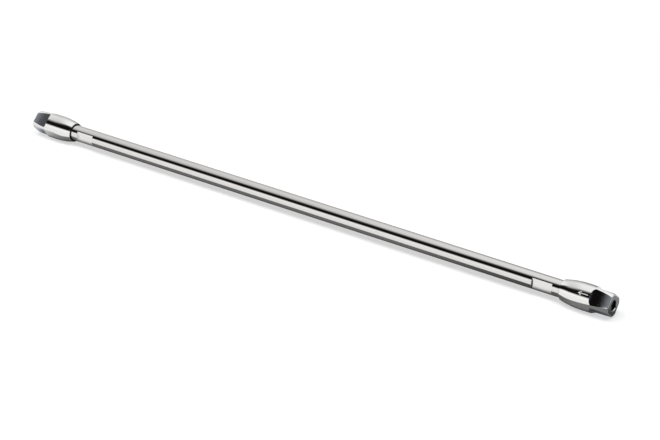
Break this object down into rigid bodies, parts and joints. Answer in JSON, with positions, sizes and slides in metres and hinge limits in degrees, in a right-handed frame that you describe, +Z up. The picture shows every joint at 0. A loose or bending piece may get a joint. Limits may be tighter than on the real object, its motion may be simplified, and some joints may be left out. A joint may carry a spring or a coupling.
{
  "type": "hplc column",
  "caption": "Stainless steel liquid chromatography column: a long packed tube with a screwed end fitting and tubing port at each end.",
  "frame": {"origin": "on the floor under the middle of the tube, with the column lying on the crowns of its two end fittings", "axes": "+X along the tube towards the inlet fitting, +Z up, -Y towards the side that the picture shows"},
  "size_m": [0.3338, 0.0122, 0.0122],
  "materials": {
    "tube_steel": "ground and polished",
    "fitting_steel": "turned and polished",
    "sintered_steel": "sintered, matte",
    "seal_polymer": "machined",
    "packing": "fine white silica powder"
  },
  "bodies": {
    "column": {"column_tube": "tube_steel", "packed_bed": "packing"},
    "inlet_frit_pack": {"inlet_frit": "sintered_steel", "inlet_seal_ring": "seal_polymer"},
    "inlet_fitting": {"inlet_end_fitting": "fitting_steel"},
    "outlet_frit_pack": {"outlet_frit": "sintered_steel", "outlet_seal_ring": "seal_polymer"},
    "outlet_fitting": {"outlet_end_fitting": "fitting_steel"}
  },
  "joints": [
    {"name": "inlet_fitting_travel", "type": "slide", "parent": "column", "child": "inlet_frit_pack", "axis": [1, 0, 0], "range_m": [0, 0.0068]},
    {"name": "inlet_fitting_turn", "type": "hinge", "parent": "inlet_frit_pack", "child": "inlet_fitting", "pos_m": [0.1423, 0, 0.00611], "axis": [1, 0, 0], "range_deg": [0, 3240]},
    {"name": "outlet_fitting_travel", "type": "slide", "parent": "column", "child": "outlet_frit_pack", "axis": [-1, 0, 0], "range_m": [0, 0.0068]},
    {"name": "outlet_fitting_turn", "type": "hinge", "parent": "outlet_frit_pack", "child": "outlet_fitting", "pos_m": [-0.1423, 0, 0.00611], "axis": [-1, 0, 0], "range_deg": [0, 3240]}
  ],
  "couplings": [
    {"joint": "inlet_fitting_travel", "follows": "inlet_fitting_turn", "m_per_rad": 0.00011937},
    {"joint": "outlet_fitting_travel", "follows": "outlet_fitting_turn", "m_per_rad": 0.00011937}
  ]
}
